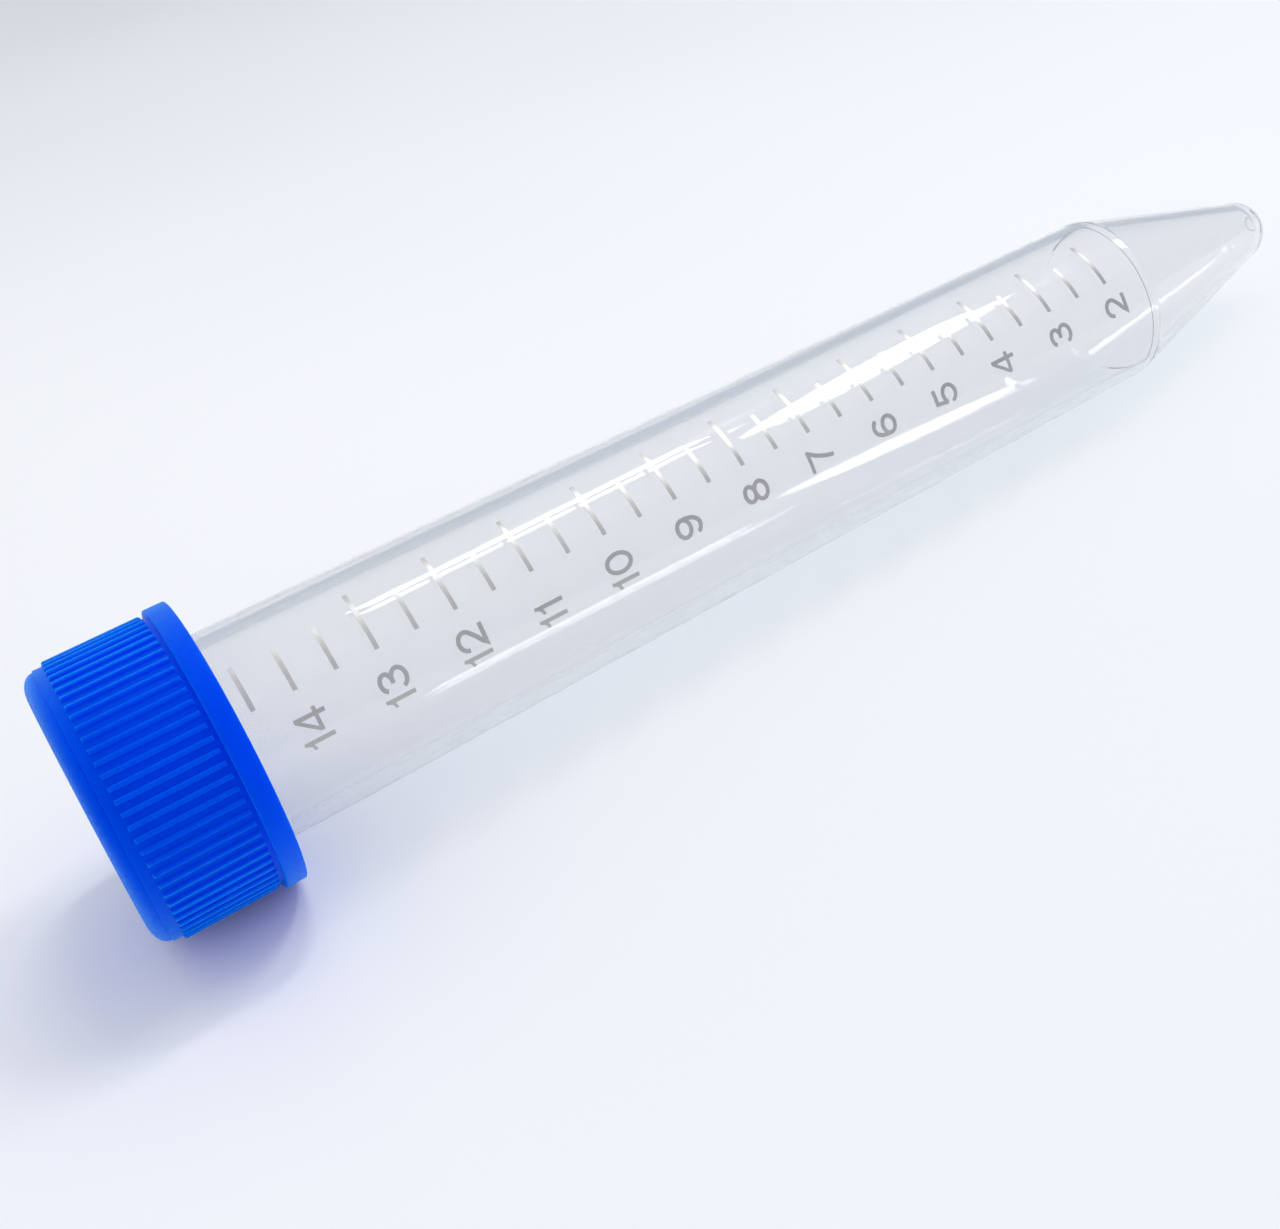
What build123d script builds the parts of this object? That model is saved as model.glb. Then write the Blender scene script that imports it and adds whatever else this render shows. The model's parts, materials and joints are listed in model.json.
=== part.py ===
from build123d import *
import os
from math import acos, atan, atan2, cos, degrees, hypot, radians, sin, tan

# A 15 ml conical tube with its screw cap, lying on its side as it comes to rest.
# Everything is drawn upright first, in millimetres: the tube's axis is Z, the tip is at
# height 0 and the cap is on top. The finished pieces are laid down together at the end.

# ---- driving dimensions ----

TOTAL_HEIGHT = 119.0       # tip to the flat top of the closed cap
REST_ROLL = -125.0         # degrees that the lying tube has rolled about its own axis

# tube, outside
TIP_RADIUS = 2.91
CONE_HALF_ANGLE = 14.95    # degrees
SHOULDER_HEIGHT = 20.35
SHOULDER_RADIUS = 7.667
BODY_DRAFT = 0.0101        # growth of the outer radius per mm of height
SHOULDER_ROUND = 3.00
RACK_BAND = 8.00           # straight band under the cap, where a rack plate holds it
NECK_RADIUS = 8.60         # the threaded neck is straight too
NECK_START = 0.80          # above the cap's skirt end

# tube, inside: straight below the middle, then opening as fast as the outside does
BORE_RADIUS = 6.86
BORE_MIDDLE = 63.0
CONE_WALL = 0.80
TIP_WALL = 1.10
GATE_RADIUS = 0.90
GATE_DEPTH = 0.25

# screw cap
CAP_HEIGHT = 11.50
CAP_TOP_WALL = 1.50
CAP_BORE_RADIUS = 9.75
CAP_BAND_RADIUS = 11.00
CAP_EDGE_RADIUS = 10.88
CAP_EDGE_ROUND = 1.10
FLANGE_RADIUS = 11.56
FLANGE_HEIGHT = 1.65
RIB_COUNT = 72
RIB_TIP_RADIUS = 11.30
RIB_TIP_WIDTH = 0.30
RIB_FOOT_WIDTH = 0.42
RIB_START = 1.95           # above the skirt's open end
RIB_END = 9.65
BAND_END = 10.35
DIMPLE_RADIUS = 1.40       # recess in the middle of the top, round the mould's gate
DIMPLE_DEPTH = 0.35
GATE_NUB_RADIUS = 0.35
GATE_NUB_HEIGHT = 0.20

# sealing liner
LINER_RADIUS = 9.60
LINER_THICKNESS = 1.00

# screw thread: one start, right-handed
PITCH = 3.00
THREAD_TURNS = 1.25
THREAD_LOW = 2.80          # centre of the neck ridge's lower end, above the skirt's end
NECK_CREST_RADIUS = 9.40
CAP_CREST_RADIUS = 8.95
CREST_WIDTH = 0.50
ROOT_WIDTH = 1.32
THREAD_SINK = 0.15         # how far each ridge is rooted in its wall
RIDGE_SPACING = 0.80       # cap ridge below neck ridge: their flanks are 0.1 apart

# ---- levels worked out from them ----

SKIRT_LEVEL = TOTAL_HEIGHT - CAP_HEIGHT
RIM_LEVEL = TOTAL_HEIGHT - CAP_TOP_WALL - LINER_THICKNESS
CONE_SLOPE = radians(CONE_HALF_ANGLE)


def outer_radius(height):
    """Outer radius of the tube's body, which tapers towards the shoulder."""
    return SHOULDER_RADIUS + BODY_DRAFT * (height - SHOULDER_HEIGHT)


def rounded(section, corner, radius):
    """The section with one of its corners, given in radius and height, rounded."""
    return fillet(section.vertices().sort_by_distance((*corner, 0))[0], radius)


def turned(section):
    """Revolves a closed half section, drawn in radius and height, about the axis."""
    return revolve(Plane.XZ * section, Axis.Z)


def thread_ridge(root_radius, crest_radius, low_end, start_angle):
    """A trapezoid ridge along a helix, outward or inward of its root radius."""
    path = Helix(pitch=PITCH, height=PITCH * THREAD_TURNS, radius=root_radius)
    depth = crest_radius - root_radius
    across = Plane(origin=path @ 0, x_dir=(1, 0, 0), z_dir=path % 0)
    profile = across * make_face(
        Polyline(
            (0, -ROOT_WIDTH / 2),
            (depth, -CREST_WIDTH / 2),
            (depth, CREST_WIDTH / 2),
            (0, ROOT_WIDTH / 2),
            close=True,
        )
    )
    ridge = sweep(profile, path=path, is_frenet=True)
    return Pos(0, 0, low_end) * Rot(0, 0, start_angle) * ridge


def make_tube():
    """One moulded piece: smooth round body, conical end, open threaded neck."""
    cone_start = (TIP_RADIUS * cos(CONE_SLOPE), TIP_RADIUS * (1 - sin(CONE_SLOPE)))
    shoulder = (SHOULDER_RADIUS, SHOULDER_HEIGHT)
    band_radius = outer_radius(SKIRT_LEVEL - RACK_BAND)
    band_foot = (band_radius, SKIRT_LEVEL - RACK_BAND)
    band_top = (band_radius, SKIRT_LEVEL)
    neck_foot = (NECK_RADIUS, SKIRT_LEVEL + NECK_START)
    outer_rim = (NECK_RADIUS, RIM_LEVEL)
    inner_rim = (BORE_RADIUS + BODY_DRAFT * (RIM_LEVEL - BORE_MIDDLE), RIM_LEVEL)
    bore_middle = (BORE_RADIUS, BORE_MIDDLE)

    # the inner cone runs parallel to the outer one and ends in a ball a little higher up
    inner_centre = TIP_RADIUS + TIP_WALL - CONE_WALL
    ball = TIP_RADIUS - CONE_WALL + (inner_centre - TIP_RADIUS) * sin(CONE_SLOPE)
    ball_start = (ball * cos(CONE_SLOPE), inner_centre - ball * sin(CONE_SLOPE))
    rise = (BORE_RADIUS - ball_start[0]) / tan(CONE_SLOPE)
    inner_shoulder = (BORE_RADIUS, ball_start[1] + rise)

    sweep_angle = 90 - CONE_HALF_ANGLE
    edges = [
        CenterArc((0, TIP_RADIUS), TIP_RADIUS, -90, sweep_angle),
        Line(cone_start, shoulder),
        Line(shoulder, band_foot),
        Line(band_foot, band_top),
        Line(band_top, neck_foot),
        Line(neck_foot, outer_rim),
        Line(outer_rim, inner_rim),
        Line(inner_rim, bore_middle),
        Line(bore_middle, inner_shoulder),
        Line(inner_shoulder, ball_start),
        CenterArc((0, inner_centre), ball, -CONE_HALF_ANGLE, -sweep_angle),
        Line((0, inner_centre - ball), (0, 0)),
    ]
    body = turned(rounded(make_face(edges), shoulder, SHOULDER_ROUND))
    gate = Pos(0, 0, GATE_DEPTH / 2) * Cylinder(GATE_RADIUS, GATE_DEPTH)
    root = NECK_RADIUS - THREAD_SINK
    ridge = thread_ridge(root, NECK_CREST_RADIUS, SKIRT_LEVEL + THREAD_LOW, 0)
    return body - gate + ridge


def make_cap():
    """One moulded piece: flanged skirt, grip ribs, rounded top edge, inner thread."""
    seat = CAP_HEIGHT - CAP_TOP_WALL
    dimple_level = CAP_HEIGHT - DIMPLE_DEPTH
    top_edge = (CAP_EDGE_RADIUS, CAP_HEIGHT)
    outline = make_face(
        Polyline(
            (0, seat),
            (CAP_BORE_RADIUS, seat),
            (CAP_BORE_RADIUS, 0),
            (FLANGE_RADIUS, 0),
            (FLANGE_RADIUS, FLANGE_HEIGHT),
            (CAP_BAND_RADIUS, FLANGE_HEIGHT),
            (CAP_BAND_RADIUS, BAND_END),
            (CAP_EDGE_RADIUS, BAND_END),
            top_edge,
            (DIMPLE_RADIUS, CAP_HEIGHT),
            (GATE_NUB_RADIUS, dimple_level),
            (GATE_NUB_RADIUS, dimple_level + GATE_NUB_HEIGHT),
            (0, dimple_level + GATE_NUB_HEIGHT),
            close=True,
        )
    )
    shell = turned(rounded(outline, top_edge, CAP_EDGE_ROUND))

    foot = CAP_BAND_RADIUS - THREAD_SINK
    rib_section = make_face(
        Polyline(
            (foot, -RIB_FOOT_WIDTH / 2),
            (RIB_TIP_RADIUS, -RIB_TIP_WIDTH / 2),
            (RIB_TIP_RADIUS, RIB_TIP_WIDTH / 2),
            (foot, RIB_FOOT_WIDTH / 2),
            close=True,
        )
    )
    rib = Pos(0, 0, RIB_START) * extrude(rib_section, RIB_END - RIB_START)
    ribs = PolarLocations(0, RIB_COUNT) * rib

    # the cap's ridge follows the neck's, one RIDGE_SPACING lower and 30 degrees earlier
    early = 30
    low_end = THREAD_LOW - RIDGE_SPACING - PITCH * early / 360
    root = CAP_BORE_RADIUS + THREAD_SINK
    ridge = thread_ridge(root, CAP_CREST_RADIUS, low_end, -early)
    return Pos(0, 0, SKIRT_LEVEL) * (shell + [*ribs] + ridge)


def make_liner():
    """The soft disc in the cap's top that seals on the tube's rim."""
    middle = RIM_LEVEL + LINER_THICKNESS / 2
    return Pos(0, 0, middle) * Cylinder(LINER_RADIUS, LINER_THICKNESS)


def resting_place():
    """Where the upright pieces go when the tube lies on its flange and its shoulder.

    Laid down, the axis leans from the floor's plane by a tilt for which the flange's
    lower corner and the round of the shoulder are the same distance below the tip."""
    flange = (FLANGE_RADIUS, SKIRT_LEVEL)
    draft = atan(BODY_DRAFT)
    middle = (draft + CONE_SLOPE) / 2
    inward = SHOULDER_ROUND / cos((CONE_SLOPE - draft) / 2)
    shoulder = (
        SHOULDER_RADIUS - inward * cos(middle),
        SHOULDER_HEIGHT + inward * sin(middle),
    )
    across = flange[0] - shoulder[0]
    along = flange[1] - shoulder[1]
    tilt = acos(SHOULDER_ROUND / hypot(across, along)) - atan2(along, across)
    axis_height = flange[0] * cos(tilt) - flange[1] * sin(tilt)

    # the lying length runs from the tip's ball to the lower edge of the cap's top
    top_edge = (CAP_EDGE_RADIUS - CAP_EDGE_ROUND, TOTAL_HEIGHT - CAP_EDGE_ROUND)
    cap_end = top_edge[0] * sin(tilt) + top_edge[1] * cos(tilt) + CAP_EDGE_ROUND
    tip_end = TIP_RADIUS * (1 - cos(tilt))
    tip_x = (cap_end - tip_end) / 2
    laid_down = Pos(tip_x, 0, axis_height) * Rot(0, degrees(tilt) - 90, 0)
    return laid_down * Rot(0, 0, REST_ROLL)


place = resting_place()
pieces = {
    "tube": make_tube(),
    "screw_cap": make_cap(),
    "seal_liner": make_liner(),
}

os.makedirs("parts", exist_ok=True)
for name, piece in pieces.items():
    export_step(place * piece, f"parts/{name}.step")
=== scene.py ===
import json
from math import acos, atan, cos, degrees, pi, radians, sin, tan

import bpy
from mathutils import Matrix, Quaternion, Vector


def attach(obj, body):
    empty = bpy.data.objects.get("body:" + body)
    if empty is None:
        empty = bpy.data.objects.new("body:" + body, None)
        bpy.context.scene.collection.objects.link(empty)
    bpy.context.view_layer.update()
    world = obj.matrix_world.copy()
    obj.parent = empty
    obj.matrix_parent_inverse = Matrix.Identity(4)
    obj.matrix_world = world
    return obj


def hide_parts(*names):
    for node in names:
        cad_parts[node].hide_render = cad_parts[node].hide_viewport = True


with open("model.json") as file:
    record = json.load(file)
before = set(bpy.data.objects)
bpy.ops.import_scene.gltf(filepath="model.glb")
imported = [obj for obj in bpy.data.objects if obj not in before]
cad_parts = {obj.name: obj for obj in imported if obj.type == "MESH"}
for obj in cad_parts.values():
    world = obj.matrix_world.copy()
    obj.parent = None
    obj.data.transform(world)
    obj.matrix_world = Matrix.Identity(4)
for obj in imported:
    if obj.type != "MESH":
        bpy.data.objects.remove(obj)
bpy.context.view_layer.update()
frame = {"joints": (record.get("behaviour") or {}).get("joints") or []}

# A 15 ml conical tube with its screw cap, lying on its side. Each piece is modelled
# upright, with the tube's axis on Z and the tip at height 0, and is then laid down to
# where the frame has it. Lengths are in metres: MM turns millimetres into them.

MM = 0.001

# ---- the tube's sizes, in millimetres of height above the tip and of radius ----

TOTAL_HEIGHT = 119.0
REST_ROLL = radians(-125)  # how far the lying tube has rolled about its own axis
SKIRT_LEVEL = 107.5        # open end of the closed cap
RIM_LEVEL = 116.5

TIP_RADIUS = 2.91
CONE_SLOPE = radians(14.95)
SHOULDER_HEIGHT = 20.35
SHOULDER_RADIUS = 7.667
BODY_DRAFT = 0.0101
SHOULDER_ROUND = 3.0
RACK_BAND = 8.0
NECK_RADIUS = 8.60
NECK_START = 0.80
RIM_ROUND = 0.30
BORE_RADIUS = 6.86
BORE_MIDDLE = 63.0
CONE_WALL = 0.80
TIP_WALL = 1.10
GATE_RADIUS = 0.90
GATE_DEPTH = 0.25
GATE_SOFT = 0.12           # the gate's recess narrows by this towards its floor
INNER_SHOULDER_ROUND = 0.2
CORE_STEP = 0.12           # the core pin's joint, a fine line round the inner shoulder
CORE_STEP_WIDTH = 0.80     # from the shoulder's corner up to that line

# ---- the cap's sizes, above its open end ----

CAP_HEIGHT = TOTAL_HEIGHT - SKIRT_LEVEL
CAP_SEAT = 10.0
CAP_BORE_RADIUS = 9.75
CAP_BAND_RADIUS = 11.00
CAP_EDGE_RADIUS = 10.88
CAP_EDGE_DROP = 1.10       # the top's rounded edge, downwards and inwards
CAP_EDGE_SWEEP = 1.70
FLANGE_RADIUS = 11.56
FLANGE_HEIGHT = 1.65
FLANGE_ROUND = 0.10
BAND_END = 10.35
STEP_ROUND = 0.05
DIMPLE_RADIUS = 1.40
DIMPLE_DEPTH = 0.35
GATE_NUB_RADIUS = 0.35
GATE_NUB_HEIGHT = 0.20
SEAT_ROUND = 0.30
DIMPLE_ROUND = 0.10
GATE_NUB_ROUND = 0.05

RIB_COUNT = 72
RIB_START = 1.95
RIB_END = 9.65
RIB_TIP_RADIUS = 11.30
RIB_TIP_WIDTH = 0.30
RIB_FOOT_WIDTH = 0.42
RIB_ROUND = 0.10
RIB_END_SLOPE = 0.30       # how much shorter a rib is at its tip

LINER_RADIUS = 9.60
LINER_THICKNESS = 1.00
LINER_ROUND = 0.12

# ---- the screw thread ----

PITCH = 3.00
THREAD_TURNS = 1.25
NECK_THREAD_LOW = 2.80     # above the skirt's end
NECK_CREST_RADIUS = 9.40
CAP_CREST_RADIUS = 8.95
CREST_WIDTH = 0.50
ROOT_WIDTH = 1.32
THREAD_SINK = 0.15
RIDGE_SPACING = 0.80
CAP_RIDGE_LEAD = radians(30)
THREAD_STEPS = 90

# ---- the printed volume scale ----

ML_HEIGHT = 6.504          # from one millilitre's mark to the next
ML_ZERO = 11.79            # where the even spacing would put 0 ml
SCALE_START = radians(-51)     # direction round the axis of the marks' left ends
LONG_MARK = 0.614          # radians of the circumference
SHORT_MARK = 0.439
MARK_WIDTH = 0.36
MARK_STEPS = 18
FIRST_MARK = 2.0           # ml
LAST_MARK = 14.5
LONG_BELOW = 14.0          # ml: from here up there is only room for short marks
DIGIT_HEIGHT = 2.40
DIGIT_GAP = 0.38
UNITS_START = radians(-74)     # left edge of the units, round the axis
STROKE = 0.145             # of a digit's height
INK_RAISED = 0.02
INK_SUNK = 0.02

# ---- how finely the shapes are drawn ----

ROUND_STEPS = 384          # facets round the turned pieces
OUTER_TIP_STEPS = 24
INNER_TIP_STEPS = 20
TOP_EDGE_STEPS = 16
CAP_CORNER_STEPS = 4
RING_STEPS = 24            # corners of a ring in a digit
STRIP = 0.30               # widest flat strip of a digit that is wrapped round the tube
MERGE_WITHIN = 0.0005      # points closer than this are one
SMOOTH_ANGLE = 35          # degrees: a sharper edge stays crisp
CAP_SMOOTH_ANGLE = 28

# ---- how the materials look ----

WALL_WAVE = 20.0           # mm from one faint swell of the wall to the next
WALL_RELIEF = 0.0008
CLEARNESS = 0.93           # the rest scatters like milk
SHADOW_TINT = "#FAFBFC"
WALL_TINT = "#DADDE2"
WALL_DENSITY = 14.0        # how strongly the wall's tint absorbs, per metre
CAP_SHEEN = "#0096FF"      # the pigment colours even what the satin surface reflects
# painted light and painted shade on the floor: paler away from the softboxes, where their light
# falls off, darker towards them
PAPER_PAINTED_SHADE = "#E8EAED"
PAPER_PAINTED_LIGHT = "#F9FAFC"
PAINTED_SHADE_FALL = (0.99, 0.12, 0)       # the way in which the painted shade on the sheet deepens, towards the softboxes
PAINTED_SHADE_START = -0.12           # metres from the middle, along that way
PAINTED_SHADE_END = 0.16
PAPER_CLOUDS = 0.1                 # how far the clouds shift the painted shade, of its whole fall
ROOM_COLOUR = "#F6F8FC"
ROOM_LIGHT = 0.80
BACKGROUND_LOW = "#BAC2D0"
BACKGROUND_HIGH = "#F4F6FA"
BACKGROUND_FADE = 0.9      # palest where the cosine to BRIGHT_SIDE is above this
BRIGHT_SIDE = (-0.42, 0, 0.91)     # the way to the background's palest part

# ---- floor, softboxes and camera, in millimetres and degrees ----

FLOOR_SIZE = 4.0           # metres
OBJECT_MIDDLE = (0, 0, 12)
# where each softbox is, its size, its radiance, the way its long side runs, and its shape
SOFTBOXES = {
    "long_softbox": ((264, -20, 395), (190, 62), 14.0, (90, 185, 0), "ELLIPSE"),
    "narrow_softbox": ((151, 65, 466), (150, 40), 19.0, (100, 30, 0), "RECTANGLE"),
}
CAMERA_AIM = (-14.937, -3.242, 5.199)
CAMERA_DISTANCE = 129.745
CAMERA_AZIMUTH = -111.386
CAMERA_ELEVATION = 32.461
CAMERA_ROLL = -18.208
CAMERA_LENS = 44.755


# ---- modelling helpers ----


def deselect_all():
    """Leaves edit mode too, if it is on."""
    if bpy.context.mode != "OBJECT":
        bpy.ops.object.mode_set(mode="OBJECT")
    bpy.ops.object.select_all(action="DESELECT")


def select_only(piece):
    deselect_all()
    piece.select_set(True)
    bpy.context.view_layer.objects.active = piece


def name_new(name):
    """Names the primitive that was just added, and its mesh."""
    piece = bpy.context.object
    piece.name = name
    piece.data.name = name
    return piece


def apply_modifier(piece, kind, **settings):
    """Adds a modifier with its settings and makes its result the piece's mesh."""
    select_only(piece)
    modifier = piece.modifiers.new(kind.title(), kind)
    for key, value in settings.items():
        setattr(modifier, key, value)
    bpy.ops.object.modifier_apply(modifier=modifier.name)


def join(pieces, name):
    """Makes one piece of several, without fusing them."""
    select_only(pieces[0])
    for piece in pieces[1:]:
        piece.select_set(True)
    bpy.ops.object.join()
    return name_new(name)


def unite(piece, other):
    """Fuses other into piece."""
    apply_modifier(piece, "BOOLEAN", operation="UNION", solver="EXACT", object=other)
    bpy.data.objects.remove(other)


def arc_points(centre, radii, start, end, steps):
    """Points of an elliptical arc in a plane, from one angle to another, in degrees."""
    turns = [radians(start + (end - start) * i / steps) for i in range(steps + 1)]
    return [(centre[0] + radii[0] * cos(a), centre[1] + radii[1] * sin(a)) for a in turns]


def soft_corner(before, corner, after, radius, steps=6):
    """Points of a fillet at a corner of the half section."""
    b, c, a = Vector(before), Vector(corner), Vector(after)
    to_before, to_after = (b - c).normalized(), (a - c).normalized()
    half = acos(max(-1.0, min(1.0, to_before.dot(to_after)))) / 2
    centre = c + (to_before + to_after).normalized() * (radius / sin(half))
    first = c + to_before * (radius / tan(half)) - centre
    last = c + to_after * (radius / tan(half)) - centre
    turn = first.angle_signed(last)
    points = []
    for i in range(steps + 1):
        spoke = first.copy()
        spoke.rotate(Matrix.Rotation(-turn * i / steps, 2))
        points.append(tuple(centre + spoke))
    return points


def with_supports(points, margin=0.25):
    """Adds a point near both ends of each long straight, so that shading stays on it."""
    out = [points[0]]
    for p, q in zip(points, points[1:]):
        run = Vector(q) - Vector(p)
        if run.length > 4 * margin:
            step = run.normalized() * margin
            out.append(tuple(Vector(p) + step))
            out.append(tuple(Vector(q) - step))
        out.append(q)
    return out


def drawn(name, loops):
    """Draws lines point by point in the plane of X and Z, extruding one vertex along each."""
    deselect_all()
    for i, points in enumerate(loops):
        start = Vector((points[0][0], 0, points[0][1])) * MM
        if i == 0:
            bpy.ops.mesh.primitive_plane_add(size=MM)
            piece = name_new(name)
            bpy.ops.object.mode_set(mode="EDIT")
        else:
            bpy.ops.mesh.select_all(action="DESELECT")
            bpy.ops.mesh.primitive_plane_add(size=MM)
        bpy.ops.mesh.merge(type="CENTER")
        bpy.ops.transform.translate(value=start)
        for p, q in zip(points, points[1:]):
            step = Vector((q[0] - p[0], 0, q[1] - p[1])) * MM
            bpy.ops.mesh.extrude_vertices_move(TRANSFORM_OT_translate={"value": step})
    return piece


def close_up(piece):
    """Merges doubles, turns all faces outwards and leaves edit mode."""
    select_only(piece)
    bpy.ops.object.mode_set(mode="EDIT")
    bpy.ops.mesh.select_all(action="SELECT")
    bpy.ops.mesh.remove_doubles(threshold=MERGE_WITHIN * MM)
    bpy.ops.mesh.normals_make_consistent(inside=False)
    bpy.ops.object.mode_set(mode="OBJECT")
    return piece


def turned(name, points):
    """Spins a half section, drawn in radius and height, about Z into a closed piece."""
    piece = drawn(name, [points])
    bpy.ops.mesh.select_all(action="SELECT")
    bpy.ops.mesh.spin(
        steps=ROUND_STEPS, angle=2 * pi, use_auto_merge=True, center=(0, 0, 0), axis=(0, 0, 1)
    )
    return close_up(piece)


def copied(piece, name):
    """A copy with its own mesh."""
    select_only(piece)
    bpy.ops.object.duplicate()
    return name_new(name)


def turn_about_axis(piece, angle, rise=0.0):
    """Turns an upright piece about Z, and lifts it by so many metres."""
    select_only(piece)
    piece.rotation_euler = (0, 0, angle)
    piece.location = (0, 0, rise)
    bpy.ops.object.transform_apply(location=True, rotation=True)
    return piece


# ---- the tube ----


def outer_radius(height):
    """Outer radius of the tube's body, which tapers towards the shoulder."""
    return SHOULDER_RADIUS + BODY_DRAFT * (height - SHOULDER_HEIGHT)


def thread_ridge(name, root_radius, crest_radius, low_end, start_angle):
    """A trapezoid ridge along a helix, closed at both ends."""
    ridge = drawn(
        name,
        [
            [
                (root_radius, low_end - ROOT_WIDTH / 2),
                (crest_radius, low_end - CREST_WIDTH / 2),
                (crest_radius, low_end + CREST_WIDTH / 2),
                (root_radius, low_end + ROOT_WIDTH / 2),
                (root_radius, low_end - ROOT_WIDTH / 2),
            ]
        ],
    )
    close_up(ridge)
    apply_modifier(
        ridge,
        "SCREW",
        angle=2 * pi * THREAD_TURNS,
        screw_offset=PITCH * THREAD_TURNS * MM,
        steps=THREAD_STEPS,
        render_steps=THREAD_STEPS,
        use_merge_vertices=True,
        merge_threshold=MERGE_WITHIN * MM,
    )
    bpy.ops.object.mode_set(mode="EDIT")
    bpy.ops.mesh.select_all(action="DESELECT")
    bpy.ops.mesh.select_mode(type="EDGE")
    bpy.ops.mesh.select_non_manifold()
    bpy.ops.mesh.fill_holes(sides=0)
    bpy.ops.mesh.select_mode(type="VERT")
    return turn_about_axis(close_up(ridge), start_angle)


def make_tube():
    """One moulded piece: smooth round body, conical end, open threaded neck."""
    cone_start = (TIP_RADIUS * cos(CONE_SLOPE), TIP_RADIUS * (1 - sin(CONE_SLOPE)))
    shoulder = (SHOULDER_RADIUS, SHOULDER_HEIGHT)
    band_radius = outer_radius(SKIRT_LEVEL - RACK_BAND)
    band_foot = (band_radius, SKIRT_LEVEL - RACK_BAND)
    band_top = (band_radius, SKIRT_LEVEL)
    neck_foot = (NECK_RADIUS, SKIRT_LEVEL + NECK_START)
    outer_rim = (NECK_RADIUS, RIM_LEVEL)
    inner_rim = (BORE_RADIUS + BODY_DRAFT * (RIM_LEVEL - BORE_MIDDLE), RIM_LEVEL)
    bore_middle = (BORE_RADIUS, BORE_MIDDLE)

    # the inner cone runs parallel to the outer one and ends in a ball a little higher up
    inner_centre = TIP_RADIUS + TIP_WALL - CONE_WALL
    ball = TIP_RADIUS - CONE_WALL + (inner_centre - TIP_RADIUS) * sin(CONE_SLOPE)
    ball_start = (ball * cos(CONE_SLOPE), inner_centre - ball * sin(CONE_SLOPE))
    cone_mouth = BORE_RADIUS - CORE_STEP
    rise = (cone_mouth - ball_start[0]) / tan(CONE_SLOPE)
    inner_shoulder = (cone_mouth, ball_start[1] + rise)
    line_level = inner_shoulder[1] + CORE_STEP_WIDTH
    core_line = [(BORE_RADIUS, line_level), (cone_mouth, line_level - CORE_STEP)]

    slope = degrees(CONE_SLOPE)
    gate_angle = -degrees(acos(GATE_RADIUS / TIP_RADIUS))
    outside = [(0, GATE_DEPTH), (GATE_RADIUS - GATE_SOFT, GATE_DEPTH)]
    tip_radii = (TIP_RADIUS, TIP_RADIUS)
    outside += arc_points((0, TIP_RADIUS), tip_radii, gate_angle, -slope, OUTER_TIP_STEPS)
    outside += soft_corner(cone_start, shoulder, band_foot, SHOULDER_ROUND)
    outside += [band_foot, band_top, neck_foot]
    outside += soft_corner(neck_foot, outer_rim, inner_rim, RIM_ROUND)
    inside = soft_corner(outer_rim, inner_rim, bore_middle, RIM_ROUND)
    inside += [bore_middle, *core_line]
    inside += soft_corner(core_line[1], inner_shoulder, ball_start, INNER_SHOULDER_ROUND)
    inside += arc_points((0, inner_centre), (ball, ball), -slope, -90, INNER_TIP_STEPS)
    tube = turned("tube_wall", with_supports(outside + inside))
    root = NECK_RADIUS - THREAD_SINK
    low_end = SKIRT_LEVEL + NECK_THREAD_LOW
    unite(tube, thread_ridge("neck_thread", root, NECK_CREST_RADIUS, low_end, REST_ROLL))
    return tube


# ---- the printed volume scale ----


def make_mark(millilitres):
    """One printed line, a thin band of ink that follows the tube's wall."""
    height = ML_ZERO + ML_HEIGHT * millilitres
    radius = outer_radius(height) + (INK_RAISED - INK_SUNK) / 2
    whole = millilitres == int(millilitres) and millilitres < LONG_BELOW
    deselect_all()
    bpy.ops.mesh.primitive_plane_add(
        size=1, location=Vector((radius, 0, height)) * MM, rotation=(pi / 2, 0, 0)
    )
    mark = name_new("mark")
    mark.scale = Vector((INK_RAISED + INK_SUNK, MARK_WIDTH, 1)) * MM
    bpy.ops.object.transform_apply()
    bpy.ops.object.mode_set(mode="EDIT")
    bpy.ops.mesh.spin(
        steps=MARK_STEPS,
        angle=-(LONG_MARK if whole else SHORT_MARK),
        center=(0, 0, 0),
        axis=(0, 0, 1),
    )
    return turn_about_axis(close_up(mark), SCALE_START)


def make_marks():
    """A mark at each half millilitre, long at the whole ones below LONG_BELOW."""
    count = int(2 * (LAST_MARK - FIRST_MARK)) + 1
    return join([make_mark(FIRST_MARK + i / 2) for i in range(count)], "scale_marks")


def stroke_outline(points, closed=False):
    """Loops round a line of the digits' stroke width: one, or two for a ring."""
    last = len(points) - 1
    left, right = [], []
    for i, p in enumerate(points):
        before = points[i - 1] if i or closed else p
        after = points[(i + 1) % len(points)] if i < last or closed else p
        run_in = (Vector(p) - Vector(before)).normalized() if before != p else None
        run_out = (Vector(after) - Vector(p)).normalized() if after != p else None
        run_in, run_out = run_in or run_out, run_out or run_in
        side = (run_in.orthogonal() + run_out.orthogonal()).normalized()
        mitre = side * (STROKE / 2 / side.dot(run_in.orthogonal()))
        left.append(tuple(Vector(p) + mitre))
        right.append(tuple(Vector(p) - mitre))
    if closed:
        return [left, right]
    return [left + right[::-1]]


def ring(centre, radii):
    last_angle = 360 - 360 / RING_STEPS
    return stroke_outline(arc_points(centre, radii, 0, last_angle, RING_STEPS - 1), closed=True)


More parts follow.
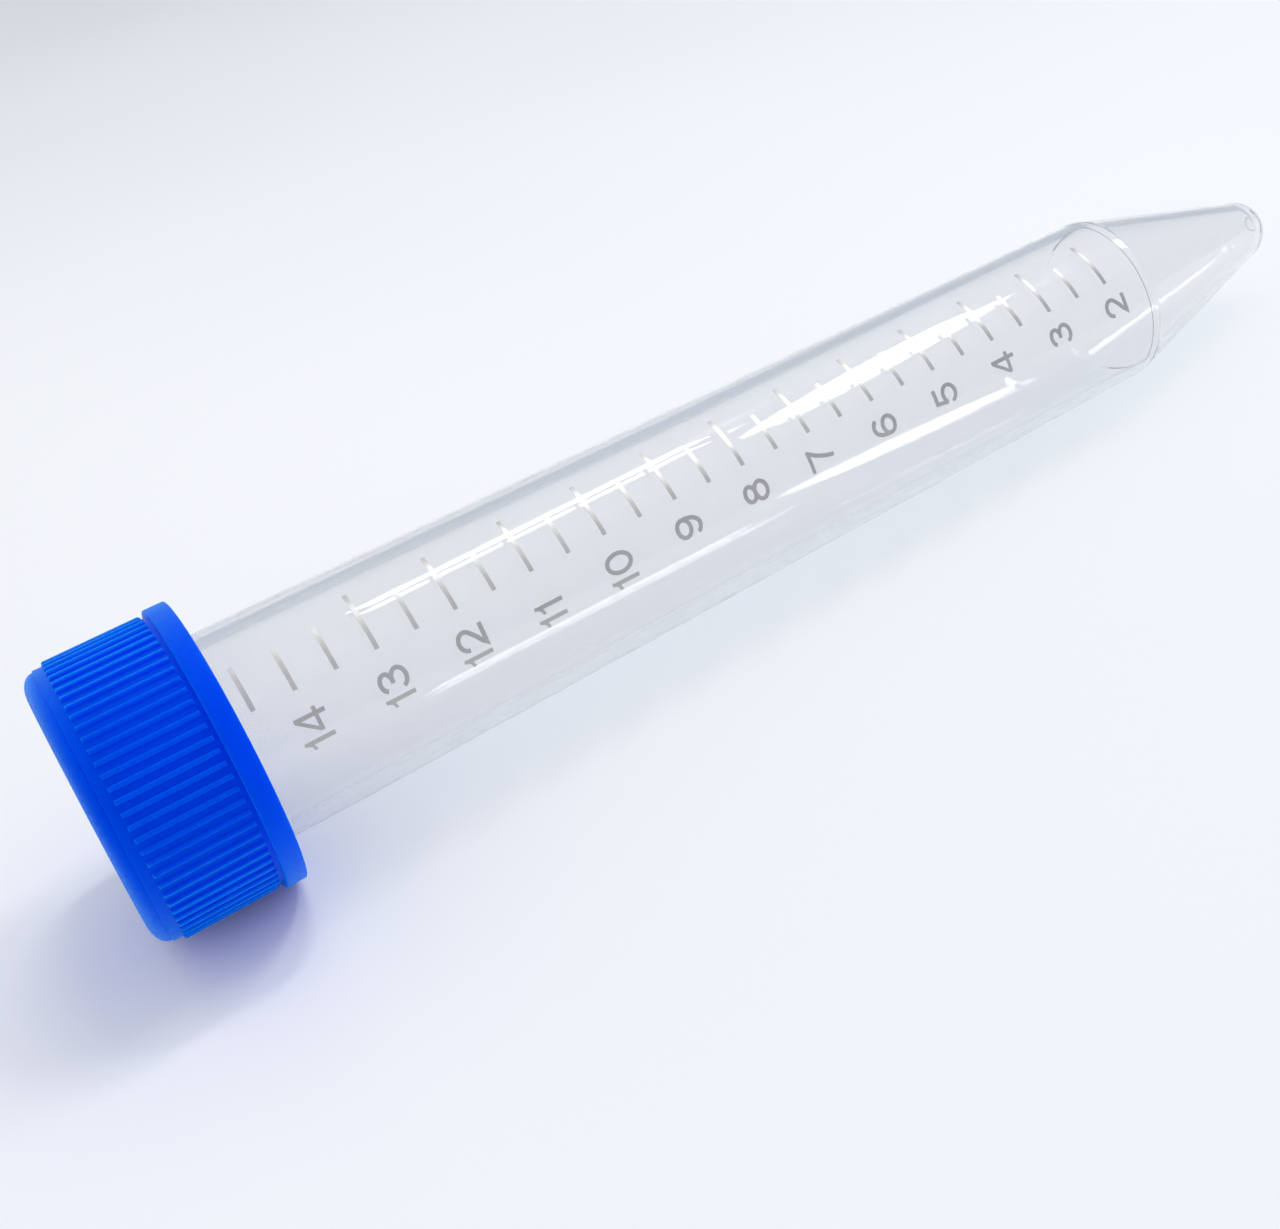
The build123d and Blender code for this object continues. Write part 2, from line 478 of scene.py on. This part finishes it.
def digit_strokes(digit):
    """The shape of a digit one unit high, as outlines that are fused into one piece."""
    if digit == "0":
        return [ring((0.378, 0.5), (0.305, 0.427))]
    if digit == "1":
        flag = [(0.205, 1), (0.18, 0.9), (0.12, 0.81), (0, 0.775), (0, 0.66), (0.168, 0.72)]
        return [[[(0.168, 0), (0.31, 0), (0.31, 1)] + flag]]
    if digit == "2":
        neck = arc_points((0.37, 0.675), (0.298, 0.252), 183, -35, 18)
        foot = [(0.4, 0.335), (0.2, 0.2), (0.085, 0.0725), (0.745, 0.0725)]
        return [stroke_outline(neck + foot)]
    if digit == "3":
        upper = arc_points((0.36, 0.73), (0.27, 0.197), 168, -90, 18)
        lower = arc_points((0.36, 0.305), (0.313, 0.2325), 90, -168, 18)
        waist = (0.27, 0.5355)
        return [stroke_outline(upper + [waist]), stroke_outline([waist] + lower)]
    if digit == "4":
        outside = [(0.49, 0), (0.632, 0), (0.632, 0.235), (0.775, 0.235), (0.775, 0.36)]
        outside += [(0.632, 0.36), (0.632, 1), (0.5, 1), (0, 0.36), (0, 0.235), (0.49, 0.235)]
        return [[outside, [(0.49, 0.36), (0.49, 0.8), (0.145, 0.36)]]]
    if digit == "5":
        flag = [(0.68, 0.9275), (0.165, 0.9275), (0.098, 0.46)]
        bowl = arc_points((0.36, 0.335), (0.305, 0.2625), 146, -166, 20)
        return [stroke_outline(flag), stroke_outline(bowl)]
    if digit == "7":
        leg = [(0.72, 0.93), (0.55, 0.68), (0.44, 0.42), (0.37, 0.18), (0.345, 0)]
        return [[[(0, 0.87), (0.79, 0.87), (0.79, 1), (0, 1)]], stroke_outline(leg)]
    if digit == "8":
        return [ring((0.378, 0.732), (0.262, 0.195)), ring((0.378, 0.305), (0.305, 0.2325))]
    # a six, and a nine is the same shape turned half round
    tail = arc_points((0.385, 0.44), (0.3125, 0.4875), 190, 90, 12)
    tail += arc_points((0.385, 0.735), (0.262, 0.1925), 80, 10, 6)
    strokes = [ring((0.368, 0.315), (0.2955, 0.2425)), stroke_outline(tail)]
    if digit == "9":
        strokes = [[[(0.74 - u, 1 - v) for u, v in loop] for loop in s] for s in strokes]
    return strokes


def make_digit(digit):
    """A digit of ink in the plane of X and Z, facing -Y, with its left foot at the origin."""
    parts = []
    for loops in digit_strokes(digit):
        closed_loops = []
        for loop in loops:
            closed_loops.append([(u * DIGIT_HEIGHT, v * DIGIT_HEIGHT) for u, v in loop + loop[:1]])
        part = drawn("digit_" + digit, closed_loops)
        bpy.ops.mesh.select_all(action="SELECT")
        bpy.ops.mesh.remove_doubles(threshold=MERGE_WITHIN * MM)
        bpy.ops.mesh.fill()
        bpy.ops.mesh.select_all(action="SELECT")
        bpy.ops.transform.translate(value=(0, INK_SUNK * MM, 0))
        bpy.ops.mesh.extrude_region_move(
            TRANSFORM_OT_translate={"value": (0, -(INK_SUNK + INK_RAISED) * MM, 0)}
        )
        parts.append(close_up(part))
    for other in parts[1:]:
        unite(parts[0], other)
    return parts[0]


def extent(piece, side):
    """The corners of a piece's box along one axis, in metres."""
    return [corner[side] for corner in piece.bound_box]


def wrap_round(piece, radius):
    """Cuts a flat piece of ink into narrow strips and bends it to the tube's radius."""
    low, high = min(extent(piece, 0)), max(extent(piece, 0))
    select_only(piece)
    bpy.ops.object.mode_set(mode="EDIT")
    cuts = int((high - low) / (STRIP * MM))
    for i in range(1, cuts + 1):
        bpy.ops.mesh.select_all(action="SELECT")
        place = low + (high - low) * i / (cuts + 1)
        bpy.ops.mesh.bisect(plane_co=(place, 0, 0), plane_no=(1, 0, 0))
    bpy.ops.object.mode_set(mode="OBJECT")
    angle = (high - low) / (radius * MM)
    apply_modifier(piece, "SIMPLE_DEFORM", deform_method="BEND", deform_axis="Z", angle=angle)
    piece.location = (0, -radius * MM, 0)
    bpy.ops.object.transform_apply(location=True)


def make_numbers():
    """The number of each whole millilitre, level with its mark."""
    digits = {digit: make_digit(digit) for digit in "0123456789"}
    numbers = []
    for value in range(int(FIRST_MARK), int(LAST_MARK) + 1):
        units = copied(digits[str(value)[-1]], "number_" + str(value))
        if value > 9:
            tens = copied(digits["1"], "tens")
            tens.location.x = -max(extent(tens, 0)) - DIGIT_GAP * MM
            bpy.ops.object.transform_apply(location=True)
            units = join([units, tens], units.name)
        height = ML_ZERO + ML_HEIGHT * value
        select_only(units)
        units.location = (0, 0, -DIGIT_HEIGHT / 2 * MM)
        bpy.ops.object.transform_apply(location=True)
        units.rotation_euler = (atan(BODY_DRAFT), 0, 0)
        bpy.ops.object.transform_apply(rotation=True)
        wrap_round(units, outer_radius(height))
        numbers.append(turn_about_axis(units, UNITS_START + pi / 2, height * MM))
    for digit in digits.values():
        bpy.data.objects.remove(digit)
    return close_up(join(numbers, "scale_numbers"))


# ---- the cap and its liner ----


def make_rib():
    """One grip rib, narrower at its tip, with its foot sunk in the cap's band."""
    foot = CAP_BAND_RADIUS - THREAD_SINK
    middle = Vector(((foot + RIB_TIP_RADIUS) / 2, 0, (RIB_START + RIB_END) / 2))
    deselect_all()
    bpy.ops.mesh.primitive_cube_add(size=1, location=middle * MM)
    rib = name_new("grip_rib")
    rib.scale = Vector((RIB_TIP_RADIUS - foot, RIB_FOOT_WIDTH, RIB_END - RIB_START)) * MM
    bpy.ops.object.transform_apply()
    for vertex in rib.data.vertices:
        vertex.select = vertex.co.x > middle.x * MM
    for edge in rib.data.edges:
        edge.select = all(rib.data.vertices[i].select for i in edge.vertices)
    for face in rib.data.polygons:
        face.select = face.normal.x > 0.5
    bpy.ops.object.mode_set(mode="EDIT")
    bpy.ops.transform.resize(value=(1, RIB_TIP_WIDTH / RIB_FOOT_WIDTH, 1))
    bpy.ops.transform.resize(value=(1, 1, 1 - RIB_END_SLOPE / (RIB_END - RIB_START)))
    bpy.ops.mesh.bevel(offset=RIB_ROUND * MM, segments=3, affect="EDGES")
    return close_up(rib)


def make_cap():
    """One moulded piece: flanged skirt, grip ribs, rounded top edge, inner thread."""
    dimple_level = CAP_HEIGHT - DIMPLE_DEPTH
    corners = {
        "seat": (CAP_BORE_RADIUS, CAP_SEAT),
        "mouth": (CAP_BORE_RADIUS, 0),
        "flange_low": (FLANGE_RADIUS, 0),
        "flange_high": (FLANGE_RADIUS, FLANGE_HEIGHT),
        "flange_root": (CAP_BAND_RADIUS, FLANGE_HEIGHT),
        "step": (CAP_BAND_RADIUS, BAND_END),
        "step_root": (CAP_EDGE_RADIUS, BAND_END),
        "top": (CAP_EDGE_RADIUS, CAP_HEIGHT),
        "dimple": (DIMPLE_RADIUS, CAP_HEIGHT),
        "dimple_floor": (GATE_NUB_RADIUS, dimple_level),
        "nub": (GATE_NUB_RADIUS, dimple_level + GATE_NUB_HEIGHT),
    }
    rounds = {
        "seat": SEAT_ROUND,
        "mouth": FLANGE_ROUND,
        "flange_low": FLANGE_ROUND,
        "flange_high": FLANGE_ROUND,
        "flange_root": STEP_ROUND,
        "step": STEP_ROUND,
        "dimple": DIMPLE_ROUND,
        "nub": GATE_NUB_ROUND,
    }
    path = [(0, CAP_SEAT), *corners.values(), (0, dimple_level + GATE_NUB_HEIGHT)]
    section = path[:1]
    for before, (name, corner), after in zip(path, corners.items(), path[2:]):
        if name == "top":
            middle = (corner[0] - CAP_EDGE_SWEEP, corner[1] - CAP_EDGE_DROP)
            section += arc_points(middle, (CAP_EDGE_SWEEP, CAP_EDGE_DROP), 0, 90, TOP_EDGE_STEPS)
        elif name in rounds:
            section += soft_corner(before, corner, after, rounds[name], CAP_CORNER_STEPS)
        else:
            section.append(corner)
    section.append(path[-1])
    shell = turned("screw_cap_shell", with_supports(section))

    rib = make_rib()
    ribs = [rib]
    for i in range(1, RIB_COUNT):
        ribs.append(turn_about_axis(copied(rib, "rib"), 2 * pi * i / RIB_COUNT))
    unite(shell, join(ribs, "grip_ribs"))

    low_end = NECK_THREAD_LOW - RIDGE_SPACING - PITCH * CAP_RIDGE_LEAD / (2 * pi)
    root = CAP_BORE_RADIUS + THREAD_SINK
    start_angle = REST_ROLL - CAP_RIDGE_LEAD
    unite(shell, thread_ridge("cap_thread", root, CAP_CREST_RADIUS, low_end, start_angle))
    return turn_about_axis(shell, 0, SKIRT_LEVEL * MM)


def make_liner():
    """The soft disc in the cap's top that seals on the tube's rim."""
    low, high = RIM_LEVEL, RIM_LEVEL + LINER_THICKNESS
    path = [(0, low), (LINER_RADIUS, low), (LINER_RADIUS, high), (0, high)]
    section = [path[0]]
    section += soft_corner(path[0], path[1], path[2], LINER_ROUND)
    section += soft_corner(path[1], path[2], path[3], LINER_ROUND)
    section.append(path[3])
    return turned("liner_disc", with_supports(section))


# ---- laying the pieces down ----

turn_joint = next(joint for joint in frame["joints"] if joint["name"] == "cap_turn")
axis = Vector(turn_joint["axis"]).normalized()
across = Vector((0, 1, 0))
upwards = across.cross(axis)
tip_place = Vector(turn_joint["pos_m"]) - axis * SKIRT_LEVEL * MM
turn_down = Matrix((upwards, across, axis)).transposed().to_4x4()
LAID_DOWN = Matrix.Translation(tip_place) @ turn_down


def lay_down(piece, smooth_angle):
    """Moves an upright piece to where the frame has it, and smooths its round faces."""
    select_only(piece)
    piece.matrix_world = LAID_DOWN
    bpy.ops.object.transform_apply(location=True, rotation=True, scale=True)
    bpy.ops.object.shade_smooth_by_angle(angle=radians(smooth_angle))
    return piece


# ---- materials ----


def linear(code):
    """A colour socket's linear value from an sRGB hex code."""
    channels = [int(code[i : i + 2], 16) / 255 for i in (1, 3, 5)]
    light = [c / 12.92 if c <= 0.04045 else ((c + 0.055) / 1.055) ** 2.4 for c in channels]
    return light + [1.0]


def add(tree, kind, inputs=None, **settings):
    """Adds a node. inputs feeds its sockets, from other nodes' sockets or with plain values."""
    new = tree.nodes.new(kind)
    for key, value in settings.items():
        setattr(new, key, value)
    for key, value in (inputs or {}).items():
        if isinstance(value, bpy.types.NodeSocket):
            tree.links.new(value, new.inputs[key])
        else:
            new.inputs[key].default_value = value
    return new


def new_material(name):
    material = bpy.data.materials.new(name)
    material.use_nodes = True
    material.node_tree.nodes.clear()
    return material, material.node_tree


def upright(tree, stretch=(1, 1, 1)):
    """Where a point is on the upright tube, in metres, for patterns that follow its axis."""
    place = add(tree, "ShaderNodeTexCoord").outputs["Object"]
    stood_up = add(
        tree,
        "ShaderNodeMapping",
        {"Vector": place, "Location": LAID_DOWN.translation, "Rotation": LAID_DOWN.to_euler()},
        vector_type="TEXTURE",
    )
    return add(
        tree, "ShaderNodeMapping", {"Vector": stood_up.outputs[0], "Scale": stretch}
    ).outputs[0]


def grain(tree, place, size_mm, detail=2.0, **inputs):
    """Soft random blotches about so many millimetres across."""
    settings = {"Vector": place, "Scale": 1 / (size_mm * MM), "Detail": detail, **inputs}
    return add(tree, "ShaderNodeTexNoise", settings).outputs["Fac"]


def between(tree, factor, low, high, start=0.0, end=1.0):
    """Low to high as the factor goes from start to end."""
    return add(
        tree,
        "ShaderNodeMapRange",
        {"Value": factor, "From Min": start, "From Max": end, "To Min": low, "To Max": high},
    ).outputs["Result"]


def blend_colours(tree, factor, first, second):
    return add(
        tree,
        "ShaderNodeMix",
        {0: factor, 6: first, 7: second},
        data_type="RGBA",
    ).outputs[2]


def bumps(tree, height, depth_mm, normal=None):
    """Relief of so many millimetres between a pattern's low and its high."""
    inputs = {"Height": height, "Strength": 1.0, "Distance": depth_mm * MM}
    if normal is not None:
        inputs["Normal"] = normal
    return add(tree, "ShaderNodeBump", inputs).outputs["Normal"]


def finish_material(tree, surface, volume=None):
    """Links a surface, and a volume where there is one, to the material's output."""
    output = add(tree, "ShaderNodeOutputMaterial", {"Surface": surface})
    if volume is not None:
        tree.links.new(volume, output.inputs["Volume"])


def clear_polypropylene():
    """Clarified polypropylene, injection moulded on a polished core: glossy and clear, with
    a trace of milk in it, a faint unevenness in its walls and a bluish tint where one looks
    along a wall. Shadow and diffuse rays pass straight through it, for a pale shadow and a
    floor without bright spots."""
    material, tree = new_material("clear_polypropylene")
    wall = upright(tree, stretch=(1, 1, 0.35))
    flow = grain(tree, wall, WALL_WAVE, detail=1.0)
    relief = bumps(tree, flow, WALL_RELIEF)
    scuffs = grain(tree, upright(tree), size_mm=5.0)
    roughness = between(tree, scuffs, low=0.02, high=0.05, start=0.4, end=0.7)
    tint = blend_colours(tree, flow, linear("#F4F4F5"), linear("#FBFBFB"))
    plastic = add(
        tree,
        "ShaderNodeBsdfPrincipled",
        {
            "Base Color": tint,
            "Roughness": roughness,
            "IOR": 1.49,
            "Transmission Weight": CLEARNESS,
            "Normal": relief,
        },
    )
    straight_through = add(tree, "ShaderNodeBsdfTransparent", {"Color": linear(SHADOW_TINT)})
    path = add(tree, "ShaderNodeLightPath").outputs
    lights_the_floor = add(
        tree,
        "ShaderNodeMath",
        {0: path["Is Shadow Ray"], 1: path["Is Diffuse Ray"]},
        operation="MAXIMUM",
    )
    surface = add(
        tree,
        "ShaderNodeMixShader",
        {0: lights_the_floor.outputs[0], 1: plastic.outputs[0], 2: straight_through.outputs[0]},
    )
    body = add(
        tree, "ShaderNodeVolumeAbsorption", {"Color": linear(WALL_TINT), "Density": WALL_DENSITY}
    )
    finish_material(tree, surface.outputs[0], body.outputs[0])
    return material


def grey_screen_ink():
    """Ink screen-printed on the moulded wall: grey and satin, with a metallic pigment
    that brightens where it mirrors a lamp, a slightly uneven coat and the weave of the
    screen just felt in its gloss."""
    material, tree = new_material("grey_screen_ink")
    place = upright(tree)
    coat = grain(tree, place, size_mm=0.5, detail=4.0)
    colour = blend_colours(tree, coat, linear("#B2B0AE"), linear("#C4C2C0"))
    roughness = between(tree, coat, low=0.30, high=0.40, start=0.3, end=0.7)
    weave = grain(tree, place, size_mm=0.12, detail=0.0)
    ink = add(
        tree,
        "ShaderNodeBsdfPrincipled",
        {
            "Base Color": colour,
            "Roughness": roughness,
            "IOR": 1.5,
            "Metallic": 0.75,
            "Normal": bumps(tree, weave, depth_mm=0.0006),
        },
    )
    finish_material(tree, ink.outputs[0])
    return material


def blue_polyethylene():
    """High-density polyethylene with a strong blue pigment, injection moulded: satin on the
    skirt and ribs, duller on the eroded flat top. It is waxy, so light spreads inside it,
    and even its glancing shine is blue."""
    material, tree = new_material("blue_polyethylene")
    place = upright(tree)
    height = add(tree, "ShaderNodeSeparateXYZ", {"Vector": place}).outputs["Z"]
    top_start, top_end = (TOTAL_HEIGHT - 0.12) * MM, (TOTAL_HEIGHT - 0.04) * MM
    on_top = between(tree, height, low=0.0, high=1.0, start=top_start, end=top_end)
    cloud = grain(tree, place, size_mm=6.0, detail=3.0)
    colour = blend_colours(tree, cloud, linear("#0033DC"), linear("#003EEA"))
    wear = grain(tree, place, size_mm=0.9, detail=5.0)
    skirt_roughness = between(tree, wear, low=0.24, high=0.36, start=0.35, end=0.65)
    top_roughness = 0.46
    roughness = add(
        tree,
        "ShaderNodeMix",
        {0: on_top, 2: skirt_roughness, 3: top_roughness},
        data_type="FLOAT",
    ).outputs[0]
    shrinkage = bumps(tree, grain(tree, place, size_mm=2.5, detail=1.0), depth_mm=0.006)
    eroded = grain(tree, place, size_mm=0.14)
    relief = bumps(tree, eroded, depth_mm=0.0012, normal=shrinkage)
    plastic = add(
        tree,
        "ShaderNodeBsdfPrincipled",
        {
            "Base Color": colour,
            "Roughness": roughness,
            "IOR": 1.54,
            "Specular IOR Level": 0.15,
            "Specular Tint": linear(CAP_SHEEN),
            "Sheen Weight": 1.0,
            "Sheen Roughness": 0.65,
            "Sheen Tint": linear(CAP_SHEEN),
            "Subsurface Weight": 0.9,
            "Subsurface Radius": (0.1, 0.6, 1.0),
            "Subsurface Scale": 4.0 * MM,
            "Normal": relief,
        },
    )
    finish_material(tree, plastic.outputs[0])
    return material


def white_foam_liner():
    """Expanded polyethylene foam, skived from a sheet: soft white and matt, with fine cells."""
    material, tree = new_material("white_foam_liner")
    place = upright(tree)
    cell_size = 0.25 * MM
    cells = add(
        tree, "ShaderNodeTexVoronoi", {"Vector": place, "Scale": 1 / cell_size}
    ).outputs["Distance"]
    cloud = grain(tree, place, size_mm=3.0)
    colour = blend_colours(tree, cloud, linear("#E4E4DF"), linear("#F1F1EC"))
    foam = add(
        tree,
        "ShaderNodeBsdfPrincipled",
        {
            "Base Color": colour,
            "Roughness": 0.7,
            "IOR": 1.5,
            "Normal": bumps(tree, cells, depth_mm=0.02),
        },
    )
    finish_material(tree, foam.outputs[0])
    return material


def pale_backdrop():
    """Background paper: matt, very pale and faintly cloudy, so that the floor isn't one flat tone,
    with painted shade that deepens towards the softboxes and painted light where theirs falls off."""
    material, tree = new_material("pale_backdrop_paper")
    place = add(tree, "ShaderNodeTexCoord").outputs["Object"]
    cloud = grain(tree, place, size_mm=160.0, detail=1.0)
    fibres = grain(tree, place, size_mm=0.6)
    across_sheet = add(
        tree, "ShaderNodeVectorMath", {0: place, 1: PAINTED_SHADE_FALL}, operation="DOT_PRODUCT"
    ).outputs["Value"]
    # painted shade: the floor darkens towards the softboxes, to even out how their light falls off
    # across it
    painted_grade = between(tree, across_sheet, 0.0, 1.0, PAINTED_SHADE_START, PAINTED_SHADE_END)
    clouded = between(tree, cloud, -PAPER_CLOUDS, PAPER_CLOUDS, start=0.35, end=0.65)
    painted_shade = add(
        tree, "ShaderNodeMath", {0: painted_grade, 1: clouded}, operation="ADD", use_clamp=True
    ).outputs[0]
    colour = blend_colours(tree, painted_shade, linear(PAPER_PAINTED_LIGHT), linear(PAPER_PAINTED_SHADE))
    paper = add(
        tree,
        "ShaderNodeBsdfPrincipled",
        {
            "Base Color": colour,
            "Roughness": 0.9,
            "Specular IOR Level": 0.2,
            "Normal": bumps(tree, fibres, depth_mm=0.004),
        },
    )
    finish_material(tree, paper.outputs[0])
    return material


def dress(piece, material):
    piece.data.materials.clear()
    piece.data.materials.append(material)


# ---- the pieces in place ----

tube = lay_down(make_tube(), SMOOTH_ANGLE)
marks = lay_down(make_marks(), SMOOTH_ANGLE)
numbers = lay_down(make_numbers(), SMOOTH_ANGLE)
cap = lay_down(make_cap(), CAP_SMOOTH_ANGLE)
liner = lay_down(make_liner(), SMOOTH_ANGLE)

ink = grey_screen_ink()
dress(tube, clear_polypropylene())
dress(marks, ink)
dress(numbers, ink)
dress(cap, blue_polyethylene())
dress(liner, white_foam_liner())

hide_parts("tube")
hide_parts("screw_cap")
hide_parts("seal_liner")
for piece in (tube, marks, numbers):
    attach(piece, "tube")
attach(liner, "liner")
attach(cap, "cap")


# ---- floor, light and camera ----


def make_floor():
    deselect_all()
    bpy.ops.mesh.primitive_plane_add(size=FLOOR_SIZE)
    floor = name_new("floor")
    dress(floor, pale_backdrop())


def make_world():
    """Plain white studio light from all round. What is seen of the room, straight, mirrored
    or through the tube, is a pale background that is palest towards BRIGHT_SIDE."""
    world = bpy.data.worlds.new("studio")
    bpy.context.scene.world = world
    world.use_nodes = True
    tree = world.node_tree
    tree.nodes.clear()
    room = {"Color": linear(ROOM_COLOUR), "Strength": ROOM_LIGHT}
    light = add(tree, "ShaderNodeBackground", room)
    direction = add(tree, "ShaderNodeTexCoord").outputs["Generated"]
    toward_bright = add(
        tree, "ShaderNodeVectorMath", {0: direction, 1: BRIGHT_SIDE}, operation="DOT_PRODUCT"
    ).outputs["Value"]
    paleness = between(tree, toward_bright, low=0.0, high=1.0, end=BACKGROUND_FADE)
    colour = blend_colours(tree, paleness, linear(BACKGROUND_LOW), linear(BACKGROUND_HIGH))
    seen = add(tree, "ShaderNodeBackground", {"Color": colour, "Strength": 1.0})
    path = add(tree, "ShaderNodeLightPath").outputs
    seen_or_mirrored = add(
        tree,
        "ShaderNodeMath",
        {0: path["Is Camera Ray"], 1: path["Is Glossy Ray"]},
        operation="MAXIMUM",
    )
    seen_at_all = add(
        tree,
        "ShaderNodeMath",
        {0: seen_or_mirrored.outputs[0], 1: path["Is Transmission Ray"]},
        operation="MAXIMUM",
    )
    mix = add(
        tree,
        "ShaderNodeMixShader",
        {0: seen_at_all.outputs[0], 1: light.outputs[0], 2: seen.outputs[0]},
    )
    add(tree, "ShaderNodeOutputWorld", {"Surface": mix.outputs[0]})


def make_softbox(name, place, size, radiance, long_side, shape):
    """A softbox aimed at the tube's middle, whose face is as bright as radiance says."""
    deselect_all()
    bpy.ops.object.light_add(type="AREA", location=Vector(place) * MM)
    box = bpy.context.object
    box.name = name
    box.data.name = name
    box.data.shape = shape
    box.data.size, box.data.size_y = size[0] * MM, size[1] * MM
    shape_share = pi / 4 if shape == "ELLIPSE" else 1
    box.data.energy = radiance * pi * shape_share * box.data.size * box.data.size_y
    toward = (Vector(OBJECT_MIDDLE) - Vector(place)).normalized()
    side = Vector(long_side)
    side = (side - toward * side.dot(toward)).normalized()
    upright_side = (-toward).cross(side)
    box.rotation_mode = "QUATERNION"
    box.rotation_quaternion = Matrix((side, upright_side, -toward)).transposed().to_quaternion()


def make_camera():
    az, el, roll = (radians(angle) for angle in (CAMERA_AZIMUTH, CAMERA_ELEVATION, CAMERA_ROLL))
    back = Vector((cos(el) * cos(az), cos(el) * sin(az), sin(el)))
    deselect_all()
    bpy.ops.object.camera_add(location=(Vector(CAMERA_AIM) + back * CAMERA_DISTANCE) * MM)
    camera = bpy.context.object
    camera.name = "camera"
    camera.rotation_mode = "QUATERNION"
    camera.rotation_quaternion = back.to_track_quat("Z", "Y") @ Quaternion((0, 0, 1), roll)
    camera.data.lens = CAMERA_LENS
    camera.data.sensor_width = 36
    camera.data.clip_start = MM
    bpy.context.scene.camera = camera


make_floor()
make_world()
for softbox, settings in SOFTBOXES.items():
    make_softbox(softbox, *settings)
make_camera()
bpy.context.scene.view_settings.view_transform = "Standard"
